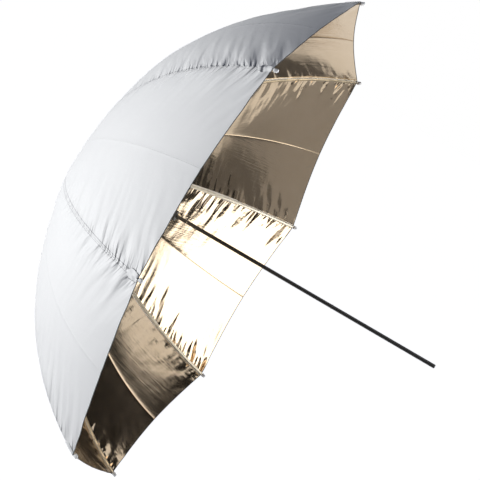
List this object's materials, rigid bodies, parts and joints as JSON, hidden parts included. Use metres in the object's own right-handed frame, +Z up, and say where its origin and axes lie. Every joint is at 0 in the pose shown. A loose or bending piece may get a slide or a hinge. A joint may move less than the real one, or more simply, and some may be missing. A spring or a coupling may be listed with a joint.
{
  "type": "umbrella reflector",
  "caption": "Folding studio umbrella reflector: white cloth outside, pale metallic lining inside, on a slim black shaft that clamps in a lamp bracket.",
  "frame": {"origin": "free end of the shaft, on its axis, where a lamp bracket's sleeve goes on", "axes": "+X along the shaft and out of its free end, the crown toward -X; +Z up along the first rib; +Y completes the right-handed set"},
  "size_m": [0.8403, 1.1036, 1.1036],
  "materials": {
    "black_enamel": "satin black enamel on steel tube",
    "black_plastic": "moulded black plastic",
    "plated_steel": "bright plated steel",
    "tip_metal": "bright tip caps",
    "white_cloth": "white satin cloth",
    "reflector_cloth": "white satin cloth outside, pale gold metallised lining inside"
  },
  "bodies": {
    "shaft": {"shaft_tube": "black_enamel", "end_plug": "black_plastic", "crown_hub": "black_plastic", "crown_ring": "plated_steel", "cross_pins": "plated_steel", "crown_cap": "black_plastic", "crown_washer": "white_cloth", "latch_pin": "plated_steel"},
    "latch": {"latch_lever": "plated_steel"},
    "runner": {"runner_sleeve": "black_plastic", "runner_hub": "black_plastic", "runner_ring": "plated_steel"},
    "rib_1": {"rib_1": "plated_steel", "tip_1": "tip_metal", "rivet_1": "plated_steel"},
    "stretcher_1": {"stretcher_1": "plated_steel"},
    "cloth_1_left": {"cloth_1_left": "reflector_cloth"},
    "cloth_1_right": {"cloth_1_right": "reflector_cloth"},
    "rib_2": {"rib_2": "plated_steel", "tip_2": "tip_metal", "rivet_2": "plated_steel"},
    "stretcher_2": {"stretcher_2": "plated_steel"},
    "cloth_2_left": {"cloth_2_left": "reflector_cloth"},
    "cloth_2_right": {"cloth_2_right": "reflector_cloth"},
    "rib_3": {"rib_3": "plated_steel", "tip_3": "tip_metal", "rivet_3": "plated_steel"},
    "stretcher_3": {"stretcher_3": "plated_steel"},
    "cloth_3_left": {"cloth_3_left": "reflector_cloth"},
    "cloth_3_right": {"cloth_3_right": "reflector_cloth"},
    "rib_4": {"rib_4": "plated_steel", "tip_4": "tip_metal", "rivet_4": "plated_steel"},
    "stretcher_4": {"stretcher_4": "plated_steel"},
    "cloth_4_left": {"cloth_4_left": "reflector_cloth"},
    "cloth_4_right": {"cloth_4_right": "reflector_cloth"},
    "rib_5": {"rib_5": "plated_steel", "tip_5": "tip_metal", "rivet_5": "plated_steel"},
    "stretcher_5": {"stretcher_5": "plated_steel"},
    "cloth_5_left": {"cloth_5_left": "reflector_cloth"},
    "cloth_5_right": {"cloth_5_right": "reflector_cloth"},
    "rib_6": {"rib_6": "plated_steel", "tip_6": "tip_metal", "rivet_6": "plated_steel"},
    "stretcher_6": {"stretcher_6": "plated_steel"},
    "cloth_6_left": {"cloth_6_left": "reflector_cloth"},
    "cloth_6_right": {"cloth_6_right": "reflector_cloth"},
    "rib_7": {"rib_7": "plated_steel", "tip_7": "tip_metal", "rivet_7": "plated_steel"},
    "stretcher_7": {"stretcher_7": "plated_steel"},
    "cloth_7_left": {"cloth_7_left": "reflector_cloth"},
    "cloth_7_right": {"cloth_7_right": "reflector_cloth"},
    "rib_8": {"rib_8": "plated_steel", "tip_8": "tip_metal", "rivet_8": "plated_steel"},
    "stretcher_8": {"stretcher_8": "plated_steel"},
    "cloth_8_left": {"cloth_8_left": "reflector_cloth"},
    "cloth_8_right": {"cloth_8_right": "reflector_cloth"}
  },
  "joints": [
    {"name": "runner_slide", "type": "slide", "parent": "shaft", "child": "runner", "axis": [1, 0, 0], "range_m": [0, 0.36605], "deforming": ["cloth_1_left", "cloth_1_right", "cloth_2_left", "cloth_2_right", "cloth_3_left", "cloth_3_right", "cloth_4_left", "cloth_4_right", "cloth_5_left", "cloth_5_right", "cloth_6_left", "cloth_6_right", "cloth_7_left", "cloth_7_right", "cloth_8_left", "cloth_8_right", "latch_lever"]},
    {"name": "latch_press", "type": "hinge", "parent": "shaft", "child": "latch", "pos_m": [-0.57266, 0, 0], "axis": [0, 1, 0], "range_deg": [-8, 0], "stiffness_Nm_per_rad": 0.05},
    {"name": "rib_fold_1", "type": "hinge", "parent": "shaft", "child": "rib_1", "pos_m": [-0.81654, 0, 0.011], "axis": [0, 1, 0], "range_deg": [0, 55.01]},
    {"name": "stretcher_turn_1", "type": "hinge", "parent": "rib_1", "child": "stretcher_1", "pos_m": [-0.73875, 0, 0.27493], "axis": [0, 1, 0], "range_deg": [-110.01, 0]},
    {"name": "pleat_1_left", "type": "hinge", "parent": "rib_1", "child": "cloth_1_left", "pos_m": [-0.81654, 0, 0.011], "axis": [0.5477, 0, 0.8366], "range_deg": [0, 78.01]},
    {"name": "pleat_1_right", "type": "hinge", "parent": "rib_1", "child": "cloth_1_right", "pos_m": [-0.81654, 0, 0.011], "axis": [0.5477, 0, 0.8366], "range_deg": [-78.01, 0]},
    {"name": "rib_fold_2", "type": "hinge", "parent": "shaft", "child": "rib_2", "pos_m": [-0.81654, -0.00778, 0.00778], "axis": [0, 0.7071, 0.7071], "range_deg": [0, 55.01]},
    {"name": "stretcher_turn_2", "type": "hinge", "parent": "rib_2", "child": "stretcher_2", "pos_m": [-0.73875, -0.1944, 0.1944], "axis": [0, 0.7071, 0.7071], "range_deg": [-110.01, 0]},
    {"name": "pleat_2_left", "type": "hinge", "parent": "rib_2", "child": "cloth_2_left", "pos_m": [-0.81654, -0.00778, 0.00778], "axis": [0.5477, -0.5916, 0.5916], "range_deg": [0, 78.01]},
    {"name": "pleat_2_right", "type": "hinge", "parent": "rib_2", "child": "cloth_2_right", "pos_m": [-0.81654, -0.00778, 0.00778], "axis": [0.5477, -0.5916, 0.5916], "range_deg": [-78.01, 0]},
    {"name": "rib_fold_3", "type": "hinge", "parent": "shaft", "child": "rib_3", "pos_m": [-0.81654, -0.011, 0], "axis": [0, 0, 1], "range_deg": [0, 55.01]},
    {"name": "stretcher_turn_3", "type": "hinge", "parent": "rib_3", "child": "stretcher_3", "pos_m": [-0.73875, -0.27493, 0], "axis": [0, 0, 1], "range_deg": [-110.01, 0]},
    {"name": "pleat_3_left", "type": "hinge", "parent": "rib_3", "child": "cloth_3_left", "pos_m": [-0.81654, -0.011, 0], "axis": [0.5477, -0.8366, 0], "range_deg": [0, 78.01]},
    {"name": "pleat_3_right", "type": "hinge", "parent": "rib_3", "child": "cloth_3_right", "pos_m": [-0.81654, -0.011, 0], "axis": [0.5477, -0.8366, 0], "range_deg": [-78.01, 0]},
    {"name": "rib_fold_4", "type": "hinge", "parent": "shaft", "child": "rib_4", "pos_m": [-0.81654, -0.00778, -0.00778], "axis": [0, -0.7071, 0.7071], "range_deg": [0, 55.01]},
    {"name": "stretcher_turn_4", "type": "hinge", "parent": "rib_4", "child": "stretcher_4", "pos_m": [-0.73875, -0.1944, -0.1944], "axis": [0, -0.7071, 0.7071], "range_deg": [-110.01, 0]},
    {"name": "pleat_4_left", "type": "hinge", "parent": "rib_4", "child": "cloth_4_left", "pos_m": [-0.81654, -0.00778, -0.00778], "axis": [0.5477, -0.5916, -0.5916], "range_deg": [0, 78.01]},
    {"name": "pleat_4_right", "type": "hinge", "parent": "rib_4", "child": "cloth_4_right", "pos_m": [-0.81654, -0.00778, -0.00778], "axis": [0.5477, -0.5916, -0.5916], "range_deg": [-78.01, 0]},
    {"name": "rib_fold_5", "type": "hinge", "parent": "shaft", "child": "rib_5", "pos_m": [-0.81654, 0, -0.011], "axis": [0, -1, 0], "range_deg": [0, 55.01]},
    {"name": "stretcher_turn_5", "type": "hinge", "parent": "rib_5", "child": "stretcher_5", "pos_m": [-0.73875, 0, -0.27493], "axis": [0, -1, 0], "range_deg": [-110.01, 0]},
    {"name": "pleat_5_left", "type": "hinge", "parent": "rib_5", "child": "cloth_5_left", "pos_m": [-0.81654, 0, -0.011], "axis": [0.5477, 0, -0.8366], "range_deg": [0, 78.01]},
    {"name": "pleat_5_right", "type": "hinge", "parent": "rib_5", "child": "cloth_5_right", "pos_m": [-0.81654, 0, -0.011], "axis": [0.5477, 0, -0.8366], "range_deg": [-78.01, 0]},
    {"name": "rib_fold_6", "type": "hinge", "parent": "shaft", "child": "rib_6", "pos_m": [-0.81654, 0.00778, -0.00778], "axis": [0, -0.7071, -0.7071], "range_deg": [0, 55.01]},
    {"name": "stretcher_turn_6", "type": "hinge", "parent": "rib_6", "child": "stretcher_6", "pos_m": [-0.73875, 0.1944, -0.1944], "axis": [0, -0.7071, -0.7071], "range_deg": [-110.01, 0]},
    {"name": "pleat_6_left", "type": "hinge", "parent": "rib_6", "child": "cloth_6_left", "pos_m": [-0.81654, 0.00778, -0.00778], "axis": [0.5477, 0.5916, -0.5916], "range_deg": [0, 78.01]},
    {"name": "pleat_6_right", "type": "hinge", "parent": "rib_6", "child": "cloth_6_right", "pos_m": [-0.81654, 0.00778, -0.00778], "axis": [0.5477, 0.5916, -0.5916], "range_deg": [-78.01, 0]},
    {"name": "rib_fold_7", "type": "hinge", "parent": "shaft", "child": "rib_7", "pos_m": [-0.81654, 0.011, 0], "axis": [0, 0, -1], "range_deg": [0, 55.01]},
    {"name": "stretcher_turn_7", "type": "hinge", "parent": "rib_7", "child": "stretcher_7", "pos_m": [-0.73875, 0.27493, 0], "axis": [0, 0, -1], "range_deg": [-110.01, 0]},
    {"name": "pleat_7_left", "type": "hinge", "parent": "rib_7", "child": "cloth_7_left", "pos_m": [-0.81654, 0.011, 0], "axis": [0.5477, 0.8366, 0], "range_deg": [0, 78.01]},
    {"name": "pleat_7_right", "type": "hinge", "parent": "rib_7", "child": "cloth_7_right", "pos_m": [-0.81654, 0.011, 0], "axis": [0.5477, 0.8366, 0], "range_deg": [-78.01, 0]},
    {"name": "rib_fold_8", "type": "hinge", "parent": "shaft", "child": "rib_8", "pos_m": [-0.81654, 0.00778, 0.00778], "axis": [0, 0.7071, -0.7071], "range_deg": [0, 55.01]},
    {"name": "stretcher_turn_8", "type": "hinge", "parent": "rib_8", "child": "stretcher_8", "pos_m": [-0.73875, 0.1944, 0.1944], "axis": [0, 0.7071, -0.7071], "range_deg": [-110.01, 0]},
    {"name": "pleat_8_left", "type": "hinge", "parent": "rib_8", "child": "cloth_8_left", "pos_m": [-0.81654, 0.00778, 0.00778], "axis": [0.5477, 0.5916, 0.5916], "range_deg": [0, 78.01]},
    {"name": "pleat_8_right", "type": "hinge", "parent": "rib_8", "child": "cloth_8_right", "pos_m": [-0.81654, 0.00778, 0.00778], "axis": [0.5477, 0.5916, 0.5916], "range_deg": [-78.01, 0]}
  ],
  "couplings": [
    {"joint": "rib_fold_1", "follows": "runner_slide", "rad_per_m": 2.6224},
    {"joint": "stretcher_turn_1", "follows": "runner_slide", "rad_per_m": -5.2448},
    {"joint": "pleat_1_left", "follows": "runner_slide", "rad_per_m": 3.7191},
    {"joint": "pleat_1_right", "follows": "runner_slide", "rad_per_m": -3.7191},
    {"joint": "rib_fold_2", "follows": "runner_slide", "rad_per_m": 2.6224},
    {"joint": "stretcher_turn_2", "follows": "runner_slide", "rad_per_m": -5.2448},
    {"joint": "pleat_2_left", "follows": "runner_slide", "rad_per_m": 3.7191},
    {"joint": "pleat_2_right", "follows": "runner_slide", "rad_per_m": -3.7191},
    {"joint": "rib_fold_3", "follows": "runner_slide", "rad_per_m": 2.6224},
    {"joint": "stretcher_turn_3", "follows": "runner_slide", "rad_per_m": -5.2448},
    {"joint": "pleat_3_left", "follows": "runner_slide", "rad_per_m": 3.7191},
    {"joint": "pleat_3_right", "follows": "runner_slide", "rad_per_m": -3.7191},
    {"joint": "rib_fold_4", "follows": "runner_slide", "rad_per_m": 2.6224},
    {"joint": "stretcher_turn_4", "follows": "runner_slide", "rad_per_m": -5.2448},
    {"joint": "pleat_4_left", "follows": "runner_slide", "rad_per_m": 3.7191},
    {"joint": "pleat_4_right", "follows": "runner_slide", "rad_per_m": -3.7191},
    {"joint": "rib_fold_5", "follows": "runner_slide", "rad_per_m": 2.6224},
    {"joint": "stretcher_turn_5", "follows": "runner_slide", "rad_per_m": -5.2448},
    {"joint": "pleat_5_left", "follows": "runner_slide", "rad_per_m": 3.7191},
    {"joint": "pleat_5_right", "follows": "runner_slide", "rad_per_m": -3.7191},
    {"joint": "rib_fold_6", "follows": "runner_slide", "rad_per_m": 2.6224},
    {"joint": "stretcher_turn_6", "follows": "runner_slide", "rad_per_m": -5.2448},
    {"joint": "pleat_6_left", "follows": "runner_slide", "rad_per_m": 3.7191},
    {"joint": "pleat_6_right", "follows": "runner_slide", "rad_per_m": -3.7191},
    {"joint": "rib_fold_7", "follows": "runner_slide", "rad_per_m": 2.6224},
    {"joint": "stretcher_turn_7", "follows": "runner_slide", "rad_per_m": -5.2448},
    {"joint": "pleat_7_left", "follows": "runner_slide", "rad_per_m": 3.7191},
    {"joint": "pleat_7_right", "follows": "runner_slide", "rad_per_m": -3.7191},
    {"joint": "rib_fold_8", "follows": "runner_slide", "rad_per_m": 2.6224},
    {"joint": "stretcher_turn_8", "follows": "runner_slide", "rad_per_m": -5.2448},
    {"joint": "pleat_8_left", "follows": "runner_slide", "rad_per_m": 3.7191},
    {"joint": "pleat_8_right", "follows": "runner_slide", "rad_per_m": -3.7191}
  ]
}
